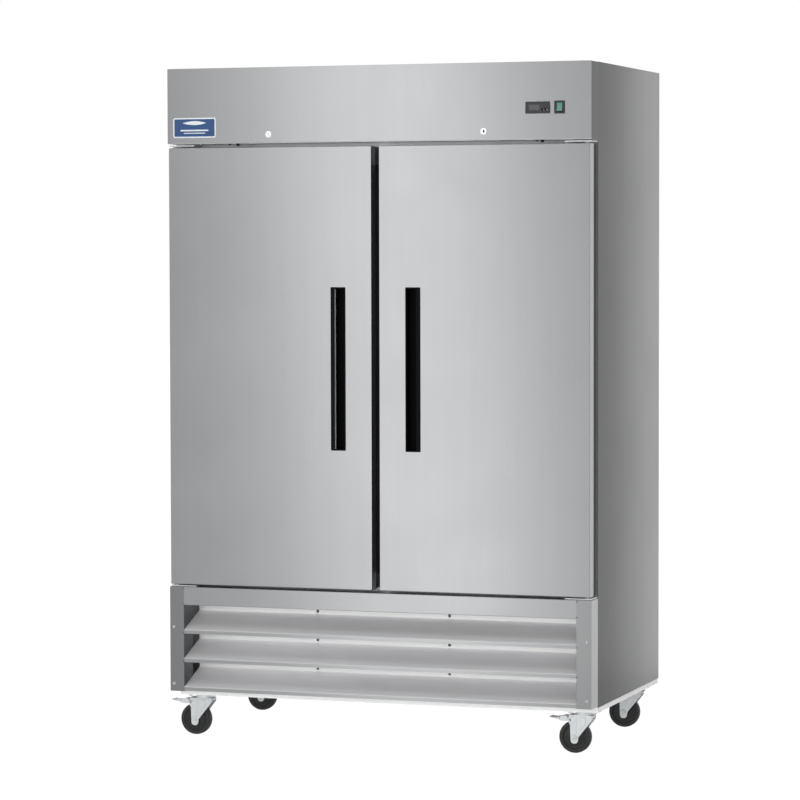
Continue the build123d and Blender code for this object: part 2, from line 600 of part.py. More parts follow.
screws = []
for x, z in ((-672.5, 357.5), (672.5, 357.5), (-672.5, 179.0), (672.5, 179.0)):
    s = ycyl(x, z, 5.0, y_front - 2.2, y_front)
    s = fillet(s.edges().filter_by(GeomType.CIRCLE).sort_by(Axis.Y)[:1], 1.4)
    s -= box(x - 3, x + 3, y_front - 3, y_front - 1.3, z - 0.5, z + 0.5)
    s -= box(x - 0.5, x + 0.5, y_front - 3, y_front - 1.3, z - 3, z + 3)
    screws.append(s)
for x, z in ((-655, 200), (-655, 440), (655, 200), (655, 440), (0, 470), (0, 168)):
    screws.append(ycyl(x, z, 4.5, y_rear, y_rear + 2.0))
save("panel_screws", *screws)

# ---------------------------------------------------------------------------
# Casters: fixed plates with king pins, swivel forks, wheels, brake pedals
# ---------------------------------------------------------------------------
caster_at = {
    "front_left": (-caster_x, caster_y_front),
    "front_right": (caster_x, caster_y_front),
    "rear_left": (-caster_x, caster_y_rear),
    "rear_right": (caster_x, caster_y_rear),
}
plates = []
for cx, cy in caster_at.values():
    p = fillet(box(cx - 48, cx + 48, cy - 34, cy + 34, z_rail - 4, z_rail).edges().filter_by(Axis.Z), 6)
    p += zcyl(cx, cy, 28, 119, z_rail - 4)
    p += zcyl(cx, cy, 6.0, 108, 119)
    p += zcyl(cx, cy, 10.0, 105.5, 109.4)
    plates.append(p)
    for dx in (-39, 39):
        for dy in (-24, 24):
            hexagon = Pos(cx + dx, cy + dy, z_rail - 9.5) * extrude(RegularPolygon(6.5, 6), 5.5)
            plates.append(hexagon)
save("caster_plates", *plates)

leg_in, leg_out = 17.5, 20.5
pedal_back, pedal_z = 13.0, 104.3


def fork(cx, cy, brake):
    ax = cx - trail
    top = box(cx - 47, cx + 31, cy - leg_out, cy + leg_out, 110, 118.4)
    top = fillet(top.edges().filter_by(Axis.Z), 5)
    top = top - zcyl(cx, cy, 6.06, 100, 125)
    body = top
    outline = [
        (ax - 18, 112), (ax + 59, 112), (ax + 59, 106), (ax + 14, 50), (ax + 13, 38), (ax + 8, 31.5),
        (ax + 3, 30), (ax - 4, 30.5), (ax - 9, 34), (ax - 11, 41), (ax - 12.5, 88), (ax - 18, 96),
    ]
    for s in (-1, 1):
        y0, y1 = (cy + leg_in, cy + leg_out) if s > 0 else (cy - leg_out, cy - leg_in)
        body += prism_y(outline, y0, y1)
        # pressed stiffening ribs down the leg
        yr0, yr1 = (y1, y1 + 2.2) if s > 0 else (y0 - 2.2, y0)
        body += prism_y([(ax + 19, 112), (ax + 37, 112), (ax + 37, 92), (ax + 20, 72)], yr0, yr1)
        body += prism_y([(ax - 9, 112), (ax + 8, 112), (ax + 8, 60), (ax - 9, 60)], yr0 if s > 0 else yr0 + 1.2, yr1 - 1.2 if s > 0 else yr1)
    bolt = ycyl(ax, 50, 5.0, cy - 26.5, cy + 26.5)
    bolt += ycyl(ax, 50, 8.0, cy - 25, cy - leg_out) + ycyl(ax, 50, 8.0, cy + leg_out, cy + 25)
    pieces = [bolt]
    for s in (-1, 1):
        y0, y1 = (cy + leg_in, cy + leg_out) if s > 0 else (cy - leg_out, cy - leg_in)
        body -= ycyl(ax, 50, 5.0, y0 - 1, y1 + 3)
    if brake:
        # pin that the brake pedal turns on
        pin = ycyl(ax - pedal_back, pedal_z, 2.5, cy - 22.5, cy + 22.5)
        body -= ycyl(ax - pedal_back, pedal_z, 2.5, cy - 30, cy + 30)
        pieces.append(pin)
    return [body] + pieces


def wheel(cx, cy):
    ax = cx - trail
    w = wheel_w / 2
    pts = [
        (5.06, -w - 2.5), (11, -w - 2.5), (13, -w + 1), (30, -w + 4), (36, -w + 3), (38, -w), (46, -w), (49.2, -w + 3),
        (wheel_r, -w + 8), (wheel_r, w - 8), (49.2, w - 3), (46, w), (38, w), (36, w - 3), (30, w - 4), (13, w - 1), (11, w + 2.5), (5.06, w + 2.5),
    ]
    face = Face(Wire.make_polygon([Vector(ax + r, cy + y, 50) for r, y in pts], close=True))
    return Solid.revolve(face, 360, Axis((ax, cy, 50), (0, 1, 0)))


def pedal(cx, cy):
    ax = cx - trail
    top = [(-9, 107), (-18.8, 108.4), (-27, 115.5), (-35, 115.0), (-48, 110.5), (-62, 108.6), (-74, 109.6), (-78, 111.5)]
    low = [(-78, 109.6), (-73, 107.4), (-60, 105.6), (-52, 103.0), (-44, 99.6), (-32, 98.2), (-24, 98.6), (-16, 100.8), (-9, 101.8)]
    pts = [(ax + x, z) for x, z in top + low]
    lever = prism_y(pts, cy - 16.6, cy + 16.6)
    hollow = [(ax + x, z - 2.0) for x, z in top[2:6]] + [(ax - 62, 90), (ax - 24, 90)]
    lever = lever - prism_y(hollow, cy - 14.4, cy + 14.4)
    pad = prism_y(pts, cy - 20.5, cy + 20.5) & box(ax - 100, ax - 46, cy - 30, cy + 30, 104.5, 130)
    lever = lever + pad
    lever = lever - ycyl(ax - pedal_back, pedal_z, 2.56, cy - 40, cy + 40)
    return lever


for name, (cx, cy) in caster_at.items():
    save("caster_fork_" + name, *fork(cx, cy, name.startswith("front")))
    save("caster_wheel_" + name, wheel(cx, cy))
    if name.startswith("front"):
        save("brake_pedal_" + name, pedal(cx, cy))
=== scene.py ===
import json
import math
from math import radians, pi
import bpy
import bmesh
from mathutils import Matrix, Vector


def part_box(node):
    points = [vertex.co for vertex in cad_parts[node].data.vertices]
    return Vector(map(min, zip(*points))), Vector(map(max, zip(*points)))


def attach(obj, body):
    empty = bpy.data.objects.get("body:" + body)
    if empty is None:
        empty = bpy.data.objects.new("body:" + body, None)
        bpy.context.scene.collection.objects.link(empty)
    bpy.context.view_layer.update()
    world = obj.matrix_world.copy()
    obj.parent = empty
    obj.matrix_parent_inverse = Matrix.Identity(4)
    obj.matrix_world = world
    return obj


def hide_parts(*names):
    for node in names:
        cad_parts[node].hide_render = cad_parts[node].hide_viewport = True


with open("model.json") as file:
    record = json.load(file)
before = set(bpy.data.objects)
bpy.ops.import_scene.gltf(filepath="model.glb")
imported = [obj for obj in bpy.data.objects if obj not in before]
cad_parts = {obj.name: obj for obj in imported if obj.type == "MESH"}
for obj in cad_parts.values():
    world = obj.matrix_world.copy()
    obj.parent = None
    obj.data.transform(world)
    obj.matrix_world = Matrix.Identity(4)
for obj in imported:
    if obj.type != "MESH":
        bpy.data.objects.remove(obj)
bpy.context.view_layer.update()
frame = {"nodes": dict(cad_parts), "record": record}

nodes = frame["nodes"]
scene = bpy.context.scene

# ---------------------------------------------------------------------------
# Camera
# ---------------------------------------------------------------------------
yaw, pitch, roll = 0.3313587, -0.0469770, -0.0021820
fw = Vector((-math.sin(yaw) * math.cos(pitch), math.cos(yaw) * math.cos(pitch), math.sin(pitch)))
rt = Vector((math.cos(yaw), math.sin(yaw), 0.0))
up = rt.cross(fw)
r2 = rt * math.cos(roll) + up * math.sin(roll)
u2 = up * math.cos(roll) - rt * math.sin(roll)
cam_data = bpy.data.cameras.new("camera")
cam_data.sensor_width = 36.0
cam_data.lens = 3304.583 * 36.0 / 800.0
cam_data.clip_end = 100.0
cam = bpy.data.objects.new("camera", cam_data)
scene.collection.objects.link(cam)
cam.matrix_world = Matrix((
    (r2.x, u2.x, -fw.x, 3.3606785),
    (r2.y, u2.y, -fw.y, -9.9404003),
    (r2.z, u2.z, -fw.z, 1.5539727),
    (0, 0, 0, 1),
))
scene.camera = cam

# ---------------------------------------------------------------------------
# Material tools
# ---------------------------------------------------------------------------


class Tree:
    """Small helper round one material's node tree."""

    def __init__(self, name, metallic=0.0, **sockets):
        self.m = bpy.data.materials.new(name)
        self.m.use_nodes = True
        self.nt = self.m.node_tree
        self.nt.nodes.clear()
        self.out = self.nt.nodes.new("ShaderNodeOutputMaterial")
        self.b = self.nt.nodes.new("ShaderNodeBsdfPrincipled")
        self.nt.links.new(self.b.outputs[0], self.out.inputs["Surface"])
        self.b.inputs["Metallic"].default_value = metallic
        for k, v in sockets.items():
            self.b.inputs[k.replace("_", " ")].default_value = v
        self.co = self.nt.nodes.new("ShaderNodeTexCoord").outputs["Object"]

    def n(self, kind, ins=None, **props):
        node = self.nt.nodes.new("ShaderNode" + kind)
        for k, v in props.items():
            setattr(node, k, v)
        for k, v in (ins or {}).items():
            s = node.inputs[k]
            if isinstance(v, bpy.types.NodeSocket):
                self.nt.links.new(v, s)
            else:
                s.default_value = v
        return node

    def set(self, socket, value):
        s = self.b.inputs[socket]
        if isinstance(value, bpy.types.NodeSocket):
            self.nt.links.new(value, s)
        else:
            s.default_value = value

    def mapped(self, scale, loc=(0, 0, 0), rot=(0, 0, 0)):
        return self.n("Mapping", {"Vector": self.co, "Scale": scale, "Location": loc, "Rotation": rot}).outputs[0]

    def noise(self, vec, scale=1.0, detail=2.0, rough=0.5, distortion=0.0):
        return self.n("TexNoise", {"Vector": vec, "Scale": scale, "Detail": detail, "Roughness": rough, "Distortion": distortion}).outputs["Fac"]

    def math(self, op, a, b=0.0, c=0.0, clamp=False):
        node = self.nt.nodes.new("ShaderNodeMath")
        node.operation = op
        node.use_clamp = clamp
        for i, v in enumerate((a, b, c)):
            if isinstance(v, bpy.types.NodeSocket):
                self.nt.links.new(v, node.inputs[i])
            else:
                node.inputs[i].default_value = v
        return node.outputs[0]

    def remap(self, v, a0, a1, b0, b1, smooth=False):
        return self.n("MapRange", {"Value": v, "From Min": a0, "From Max": a1, "To Min": b0, "To Max": b1},
                      interpolation_type="SMOOTHSTEP" if smooth else "LINEAR").outputs[0]

    def mix(self, fac, a, b, mode="MIX"):
        node = self.nt.nodes.new("ShaderNodeMix")
        node.data_type = "RGBA"
        node.blend_type = mode
        for i, v in ((0, fac), (6, a), (7, b)):
            if isinstance(v, bpy.types.NodeSocket):
                self.nt.links.new(v, node.inputs[i])
            else:
                node.inputs[i].default_value = v if i == 0 else (tuple(v) + (1.0,))[:4]
        return node.outputs[2]

    def sep(self, vec):
        return self.n("SeparateXYZ", {"Vector": vec}).outputs

    def bump(self, height, strength=0.3, distance=0.0005, normal=None):
        ins = {"Height": height, "Strength": strength, "Distance": distance}
        if normal is not None:
            ins["Normal"] = normal
        node = self.n("Bump", ins)
        return node.outputs[0]


def shade(c, k):
    return tuple(min(1.0, v * k) for v in c)


def brushed(name, base, rough, along="Z", contrast=0.05, smudge=0.06, grain=0.12, aniso=0.4, painted_light_fade=None, metallic=1.0):
    """Brushed sheet: fine scratches along one axis, broad smudges, and an optional painted light-and-shade ramp along
    Y.
    """
    t = Tree(name, metallic=metallic)
    fine_s, mid_s, broad_s = (1500, 1500, 9), (230, 230, 1.6), (26, 26, 0.9)
    if along == "X":
        fine_s, mid_s, broad_s = (9, 1500, 1500), (1.6, 230, 230), (0.9, 26, 26)
    if along == "Y":
        fine_s, mid_s, broad_s = (1500, 9, 1500), (230, 1.6, 230), (26, 0.9, 26)
    fine = t.noise(t.mapped(fine_s), detail=3.0, rough=0.6)
    mid = t.noise(t.mapped(mid_s), detail=3.0, rough=0.55)
    broad = t.noise(t.mapped(broad_s), detail=2.0)
    cloud = t.noise(t.co, scale=3.1, detail=3.0, rough=0.6, distortion=0.4)
    v = t.math("MULTIPLY_ADD", mid, contrast, 1.0 - contrast / 2)
    v = t.math("MULTIPLY", v, t.math("MULTIPLY_ADD", broad, contrast * 0.8, 1.0 - contrast * 0.4))
    v = t.math("MULTIPLY", v, t.math("MULTIPLY_ADD", cloud, smudge, 1.0 - smudge / 2))
    # painted light and shade: the colour is scaled by a ramp along Y
    if painted_light_fade is not None:
        y = t.sep(t.co)[1]
        v = t.math("MULTIPLY", v, t.remap(y, painted_light_fade[0], painted_light_fade[1], painted_light_fade[2], painted_light_fade[3], smooth=True))
    col = t.mix(1.0, base, t.n("CombineXYZ", {"X": v, "Y": v, "Z": v}).outputs[0], "MULTIPLY")
    t.set("Base Color", col)
    r = t.math("MULTIPLY_ADD", fine, 0.08, rough - 0.04)
    r = t.math("ADD", r, t.math("MULTIPLY_ADD", cloud, 0.10, -0.05))
    t.set("Roughness", r)
    t.set("Anisotropic", aniso)
    t.set("Normal", t.bump(t.math("ADD", fine, t.math("MULTIPLY", mid, 0.6)), grain, 0.00012))
    return t.m


def plastic(name, base, rough, grain=260.0, depth=0.15, wear=None, spec=0.5):
    """Moulded plastic: fine spark-eroded grain, faint flow marks and dust."""
    t = Tree(name)
    g = t.noise(t.co, scale=grain * 6, detail=2.0, rough=0.7)
    g2 = t.n("TexVoronoi", {"Vector": t.co, "Scale": grain * 3.4}, feature="SMOOTH_F1").outputs["Distance"]
    cloud = t.noise(t.co, scale=7.0, detail=4.0, rough=0.6)
    v = t.math("MULTIPLY_ADD", cloud, 0.24, 0.88)
    col = t.mix(1.0, base, t.n("CombineXYZ", {"X": v, "Y": v, "Z": v}).outputs[0], "MULTIPLY")
    if wear is not None:
        w = t.remap(t.noise(t.co, scale=38.0, detail=5.0, rough=0.7), 0.62, 0.78, 0.0, 0.5)
        col = t.mix(w, col, wear)
    t.set("Base Color", col)
    t.set("Roughness", t.math("MULTIPLY_ADD", cloud, 0.16, rough - 0.08))
    t.set("Specular IOR Level", spec)
    t.set("Normal", t.bump(t.math("ADD", g, g2), depth, 0.00015))
    return t.m


def plated(name, base, rough, spangle=40.0, amount=0.12, metallic=1.0, tint=(0.95, 0.93, 0.80), pits=0.10):
    """Zinc or galvanised sheet: crystal spangle, dull patches, fine pitting."""
    t = Tree(name, metallic=metallic)
    vor = t.n("TexVoronoi", {"Vector": t.co, "Scale": spangle, "Randomness": 1.0}, feature="F1")
    cell = t.sep(vor.outputs["Color"])[0]
    cloud = t.noise(t.co, scale=9.0, detail=4.0, rough=0.6)
    fine = t.noise(t.co, scale=900.0, detail=2.0)
    v = t.math("MULTIPLY_ADD", cell, amount, 1.0 - amount / 2)
    v = t.math("MULTIPLY", v, t.math("MULTIPLY_ADD", cloud, 0.18, 0.91))
    col = t.mix(1.0, base, t.n("CombineXYZ", {"X": v, "Y": v, "Z": v}).outputs[0], "MULTIPLY")
    col = t.mix(t.remap(cloud, 0.55, 0.85, 0.0, 0.35), col, shade(tint, base[0]))
    t.set("Base Color", col)
    r = t.math("MULTIPLY_ADD", cell, amount * 0.9, rough - amount * 0.45)
    t.set("Roughness", t.math("ADD", r, t.math("MULTIPLY_ADD", fine, 0.08, -0.04)))
    t.set("Normal", t.bump(t.math("ADD", fine, t.math("MULTIPLY", cell, 0.3)), pits, 0.0001))
    return t.m


def painted(name, base, rough, metallic=0.0, coat=0.0, peel=320.0):
    """Enamel or powder coat: orange peel and faint cloudy dust."""
    t = Tree(name, metallic=metallic)
    peel_n = t.noise(t.co, scale=peel, detail=2.0, rough=0.4)
    cloud = t.noise(t.co, scale=11.0, detail=4.0)
    v = t.math("MULTIPLY_ADD", cloud, 0.20, 0.90)
    col = t.mix(1.0, base, t.n("CombineXYZ", {"X": v, "Y": v, "Z": v}).outputs[0], "MULTIPLY")
    t.set("Base Color", col)
    t.set("Roughness", t.math("MULTIPLY_ADD", cloud, 0.14, rough - 0.07))
    t.set("Coat Weight", coat)
    t.set("Coat Roughness", 0.2)
    t.set("Normal", t.bump(peel_n, 0.12, 0.0003))
    return t.m


MAT = {}
MAT["stainless"] = brushed("stainless", (0.52, 0.525, 0.53), 0.30)
# side panels: a darker copy of the front steel (painted shade), ramped from darker at the front to brighter at the
# rear (painted reflection)
MAT["stainless_side"] = brushed("stainless_side", (0.37, 0.37, 0.372), 0.34, painted_light_fade=(-0.36, 0.40, 0.47, 1.22))
MAT["stainless_frame"] = brushed("stainless_frame", (0.50, 0.505, 0.51), 0.36)
MAT["galvanised"] = plated("galvanised", (0.62, 0.63, 0.64), 0.42, spangle=55.0, amount=0.16, tint=(0.93, 0.94, 0.95))
MAT["liner"] = plated("liner", (0.74, 0.75, 0.76), 0.38, spangle=120.0, amount=0.05, tint=(0.97, 0.97, 0.97))
MAT["foam"] = plastic("foam", (0.78, 0.70, 0.44), 0.85, grain=60.0, depth=0.6)
MAT["badge"] = painted("badge", (0.022, 0.055, 0.135), 0.30, metallic=0.2)
MAT["black_plastic"] = plastic("black_plastic", (0.018, 0.018, 0.020), 0.42, wear=(0.05, 0.05, 0.05))
MAT["inner_plastic"] = plastic("inner_plastic", (0.50, 0.51, 0.52), 0.45)
MAT["key"] = plastic("key", (0.12, 0.12, 0.125), 0.50)
MAT["green_rocker"] = plastic("green_rocker", (0.050, 0.150, 0.118), 0.30)
# chrome kept pale and mostly diffuse so the lock reads bright: painted reflection
MAT["chrome"] = plated("chrome", (0.74, 0.74, 0.75), 0.18, spangle=300.0, amount=0.02, metallic=0.35)
MAT["zinc"] = plated("zinc", (0.70, 0.72, 0.73), 0.34, spangle=60.0, amount=0.03, metallic=0.6, pits=0.02)
MAT["lamp"] = plastic("lamp", (0.82, 0.82, 0.78), 0.35)
MAT["fins"] = plated("fins", (0.66, 0.67, 0.68), 0.40, spangle=90.0, amount=0.05)
MAT["fan_plastic"] = plastic("fan_plastic", (0.03, 0.03, 0.033), 0.40)
MAT["compressor_black"] = painted("compressor_black", (0.018, 0.018, 0.02), 0.35, coat=0.3)
MAT["copper"] = plated("copper", (0.72, 0.36, 0.20), 0.28, spangle=60.0, amount=0.08, tint=(0.6, 0.35, 0.25))
MAT["gasket"] = plastic("gasket", (0.05, 0.05, 0.054), 0.60)
MAT["shelf_wire"] = painted("shelf_wire", (0.72, 0.73, 0.72), 0.32, coat=0.3)
MAT["screw"] = plated("screw", (0.42, 0.42, 0.43), 0.30, spangle=400.0, amount=0.04, metallic=0.5)
MAT["wheel_black"] = plastic("wheel_black", (0.017, 0.017, 0.018), 0.46, wear=(0.06, 0.06, 0.06))

# louvre ramps: satin finish, with painted light: paler than the front steel and ramped brighter towards the rear
MAT["stainless_blade"] = brushed("stainless_blade", (0.62, 0.62, 0.63), 0.46, along="X", grain=0.15, aniso=0.2, metallic=0.30, painted_light_fade=(-0.402, -0.280, 0.72, 1.58))
# near-black for the mullion faces in the door gap: painted shade
MAT["gap_painted_shade"] = plastic("gap_painted_shade", (0.020, 0.020, 0.022), 0.45)
MAT["badge_rim"] = plated("badge_rim", (0.62, 0.65, 0.68), 0.30, spangle=500.0, amount=0.03, metallic=0.5)
MAT["segment"] = plastic("segment", (0.115, 0.113, 0.120), 0.30, depth=0.02)
# near-black with almost no specular for the handle pockets: painted shade in the recess
MAT["pocket_painted_shade"] = plastic("pocket_painted_shade", (0.0018, 0.0018, 0.002), 0.60, spec=0.04)
# pale glossy grey on the left handle's lip edge: painted highlight
MAT["lip_painted_highlight"] = plastic("lip_painted_highlight", (0.330, 0.330, 0.335), 0.22)
MAT["dark_screw"] = painted("dark_screw", (0.012, 0.012, 0.013), 0.30, metallic=0.6)
MAT["stainless_shade"] = brushed("stainless_shade", (0.20, 0.20, 0.21), 0.45)
MAT["wheel_core"] = plastic("wheel_core", (0.011, 0.011, 0.012), 0.34)
MAT["display"] = plastic("display", (0.030, 0.029, 0.032), 0.18, depth=0.02)
# darker copy of the steel for the header's end returns: painted shade
MAT["return_painted_shade"] = brushed("return_painted_shade", (0.215, 0.216, 0.218), 0.36)
# paler, less metallic copy of the steel for side-facing edges: painted light
MAT["edge_painted_light"] = brushed("edge_painted_light", (0.56, 0.565, 0.56), 0.34, metallic=0.6)
# near-black for the inner panels' rims in the door gaps: painted shade
MAT["rim_painted_shade"] = plastic("rim_painted_shade", (0.030, 0.030, 0.032), 0.50)
# pale, mostly diffuse copy of the steel for the blades' rear flanges and the header's underside: painted light
MAT["strip"] = brushed("strip", (0.78, 0.78, 0.775), 0.40, along="X", grain=0.10, aniso=0.2, metallic=0.25)
# darker copies of the steel for the grille posts, the left one darker still: painted shade
MAT["post_painted_shade_left"] = brushed("post_painted_shade_left", (0.365, 0.37, 0.372), 0.31)
MAT["post_painted_shade"] = brushed("post_painted_shade", (0.455, 0.46, 0.462), 0.31)
MAT["handle_black"] = plastic("handle_black", (0.003, 0.003, 0.0035), 0.60, spec=0.06)
MAT["rail_zinc"] = plated("rail_zinc", (0.76, 0.76, 0.76), 0.40, spangle=70.0, amount=0.06, metallic=0.2)

slot_of = {s["node"]: s["material_slot"] for s in frame["record"]["subparts"]}

# ---------------------------------------------------------------------------
# Carried-over nodes: softened edges and their materials
# ---------------------------------------------------------------------------
def edge_key(a, b):
    p = tuple(round(v * 200000) for v in a)
    q = tuple(round(v * 200000) for v in b)
    return (p, q) if p <= q else (q, p)


def soften(name, bend=0.0020, cut=0.00025, segments=3, angle=32.0, dissolve=True):
    """Rounds the folds and cut edges of a piece, each by what its walls allow."""
    o = nodes[name] if isinstance(name, str) else name
    me = o.data
    for at in ("custom_normal", "sharp_face"):
        if at in me.attributes:
            me.attributes.remove(me.attributes[at])
    me.polygons.foreach_set("use_smooth", [True] * len(me.polygons))
    bm = bmesh.new()
    bm.from_mesh(me)
    bmesh.ops.remove_doubles(bm, verts=bm.verts, dist=0.000004)
    weights = {}
    sharp = set()
    limit = radians(angle)
    for e in bm.edges:
        n = len(e.link_faces)
        if n != 2:
            if n > 2:
                sharp.add(edge_key(e.verts[0].co, e.verts[1].co))
            continue
        if e.calc_face_angle(0.0) < limit:
            continue
        length = e.calc_length()
        h = min(2.0 * f.calc_area() / max(length, 1e-9) for f in e.link_faces)
        w = min(bend, 0.40 * h)
        if not e.is_convex:
            w = min(w, bend * 0.5)
        if h < 0.0016:
            w = min(w, cut)
        if w < 0.00006:
            sharp.add(edge_key(e.verts[0].co, e.verts[1].co))
            continue
        weights[edge_key(e.verts[0].co, e.verts[1].co)] = w / bend
    bm.free()
    bw = me.attributes.get("bevel_weight_edge") or me.attributes.new("bevel_weight_edge", "FLOAT", "EDGE")
    se = me.attributes.get("sharp_edge") or me.attributes.new("sharp_edge", "BOOLEAN", "EDGE")
    co = [v.co.copy() for v in me.vertices]
    bwv, sev = [], []
    for e in me.edges:
        k = edge_key(co[e.vertices[0]], co[e.vertices[1]])
        bwv.append(weights.get(k, 0.0))
        sev.append(k in sharp)
    bw.data.foreach_set("value", bwv)
    se.data.foreach_set("value", sev)
    w = o.modifiers.new("join", "WELD")
    w.merge_threshold = 0.000004
    if dissolve:
        d = o.modifiers.new("flat", "DECIMATE")
        d.decimate_type = "DISSOLVE"
        d.angle_limit = radians(0.3)
        d.delimit = {"MATERIAL", "SHARP"}
    m = o.modifiers.new("soft edges", "BEVEL")
    m.width = bend
    m.segments = segments
    m.limit_method = "WEIGHT"
    m.use_clamp_overlap = False
    m.face_strength_mode = "FSTR_AFFECTED"
    n = o.modifiers.new("shading", "WEIGHTED_NORMAL")
    n.keep_sharp = True
    n.use_face_influence = True
    return o


def by_face(name, pick):
    """Gives each polygon of a node the material that pick(centre, normal) names."""
    o = nodes[name]
    names = [m.name for m in o.data.materials]
    for p in o.data.polygons:
        want = pick(p.center, p.normal)
        if want is None:
            continue
        if want not in names:
            o.data.materials.append(MAT[want])
            names.append(want)
        p.material_index = names.index(want)


for name, o in nodes.items():
    o.data.materials.clear()
    o.data.materials.append(MAT[slot_of[name]])

plain_nodes = ("base_frame", "body_frame", "inner_liner", "cabinet_insulation", "interior_light", "left_door_inner_panel", "right_door_inner_panel",
               "left_door_insulation", "right_door_insulation", "left_door_handle", "right_door_handle")
sheet_nodes = ("header_panel", "left_door_skin", "right_door_skin", "side_panel_left", "side_panel_right", "top_panel", "rear_panel", "rear_grille", "evaporator_cover", "condensate_pan")
small_nodes = ("controller_key_left", "controller_key_right", "panel_screws", "lock_bodies", "lock_cylinder_left", "lock_cylinder_right", "power_rocker", "switch_bezel", "controller_housing")
for name in nodes:
    if name in plain_nodes or name in ("louvre_grille", "badge_plate"):
        continue
    if name == "header_panel":
        soften(name, bend=0.0030, segments=4)
    elif name in ("left_door_skin", "right_door_skin"):
        soften(name, bend=0.0025, segments=4)
    elif name in sheet_nodes:
        soften(name, bend=0.0018)
    elif name in small_nodes:
        soften(name, bend=0.0007)
    elif name.startswith("shelf_") and name[6:10] != "pila":
        soften(name, bend=0.0003, segments=1, dissolve=False)
    elif "insulation" in name:
        soften(name, bend=0.002)
    else:
        soften(name, bend=0.0011)


def piece(name, mesh, body, *mats):
    o = bpy.data.objects.new(name, mesh)
    scene.collection.objects.link(o)
    for m in mats:
        mesh.materials.append(MAT[m])
    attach(o, body)
    return o


def grille_group(c, n, zs):
    side = "r" if c.x > 0 else "l"
    if min(zs) > 0.48295:
        if max(zs) < 0.48305 and n.z > 0.5:
            return "grille_post_" + side if abs(c.x) > 0.6389 else "grille_rail"
        return "grille_cap"
    ax = abs(c.x)
    if ax > 0.6389:
        if ax < 0.63905 and n.x * c.x > 0 and c.z > 0.426:
            return "grille_rail"
        return "grille_post_" + side
    if c.z > 0.4265:
        return "grille_rail"
    return "grille_blade_%d" % (int((c.z - 0.157) / 0.09) + 1)


# the louvre grille comes apart into its posts, cap, rail and blades
src = nodes["louvre_grille"].data
groups = {}
for p in src.polygons:
    zs = [src.vertices[v].co.z for v in p.vertices]
    groups.setdefault(grille_group(p.center, p.normal, zs), []).append(p)
for g in sorted(groups):
    index, verts, faces = {}, [], []
    for p in groups[g]:
        f = []
        for v in p.vertices:
            co = src.vertices[v].co
            k = tuple(round(x * 200000) for x in co)
            if k not in index:
                index[k] = len(verts)
                lift = 0.0035 if "blade" in g and co.y > -0.300 and (co.z - 0.157) % 0.09 < 0.0600 else 0.0
                verts.append((co.x, co.y, co.z + lift))
            f.append(index[k])
        if len(set(f)) == len(f):
            faces.append(f)
    me = bpy.data.meshes.new(g)
    me.from_pydata(verts, [], faces)
    me.validate()
    o = piece(g, me, "cabinet", "post_painted_shade_left" if g == "grille_post_l" else "post_painted_shade" if "post" in g else "stainless")
    # face materials: painted light on the blade ramps (over a satin finish), rear flanges and the posts' outer sides;
    # painted shade on the posts' inner and rear faces
    for p in me.polygons:
        n = p.normal
        want = None
        if "blade" in g and abs(n.z) > 0.5 and p.center.y > -0.4015:
            want = "stainless_blade"
        if "blade" in g and abs(n.y) > 0.7 and p.center.y > -0.30:
            want = "strip"
        if "post" in g and (abs(n.x) > 0.7 and abs(p.center.x) < 0.645 or n.y > 0.5):
            want = "stainless_shade"
        if "post" in g and abs(n.x) > 0.7 and abs(p.center.x) > 0.684:
            want = "edge_painted_light"
        if want:
            if MAT[want].name not in [m.name for m in me.materials]:
                me.materials.append(MAT[want])
            p.material_index = [m.name for m in me.materials].index(MAT[want].name)
    soften(o, bend=0.0016)
    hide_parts("louvre_grille")

# painted shade: near-black faces on the mullion between the doors, deep in the gap
by_face("body_frame", lambda c, n: "gap_painted_shade" if abs(c.x) < 0.0301 and c.z < 1.801 else None)
# painted light and shade on folded faces: painted shade on the header's ends, painted light on the doors' outer edges
# and the header's underside, painted shade on the inner panels' rims
by_face("header_panel", lambda c, n: "return_painted_shade" if abs(n.x) > 0.7 and abs(c.x) > 0.684 else ("strip" if n.z < -0.7 and c.z < 1.870 else None))
for dn in ("left_door_skin", "right_door_skin"):
    by_face(dn, lambda c, n: "edge_painted_light" if abs(n.x) > 0.7 and abs(c.x) > 0.681 else None)
for dn in ("left_door_inner_panel", "right_door_inner_panel"):
    by_face(dn, lambda c, n: "rim_painted_shade" if abs(n.x) > 0.7 and (abs(c.x) > 0.6795 or abs(c.x) < 0.0152) else None)
by_face("base_frame", lambda c, n: "rail_zinc" if c.z < 0.1545 else None)

# wheels: tread round a harder core
for c in ("front_left", "front_right", "rear_left", "rear_right"):
    wn = "caster_wheel_" + c
    lo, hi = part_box(wn)
    wx, wz = (lo.x + hi.x) / 2, (lo.z + hi.z) / 2
    by_face(wn, lambda p, n, wx=wx, wz=wz: "wheel_core" if math.hypot(p.x - wx, p.z - wz) < 0.0372 else None)
# controller window
wlo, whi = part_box("controller_housing")
by_face("controller_housing", lambda c, n: "display" if wlo.x + 0.0075 < c.x < wlo.x + 0.0505 and wlo.z + 0.0065 < c.z < whi.z - 0.0055 and c.y < -0.4035 else None)

# ---------------------------------------------------------------------------
# Badge: pale rim round a sunk blue panel, with two plain raised lines
# ---------------------------------------------------------------------------


def round_rect(x0, x1, z0, z1, r, n=7):
    pts = []
    for cx, cz, a0 in ((x1 - r, z1 - r, 0), (x0 + r, z1 - r, 90), (x0 + r, z0 + r, 180), (x1 - r, z0 + r, 270)):
        for i in range(n):
            a = radians(a0 + 90.0 * i / (n - 1))
            pts.append((cx + r * math.cos(a), cz + r * math.sin(a)))
    return pts


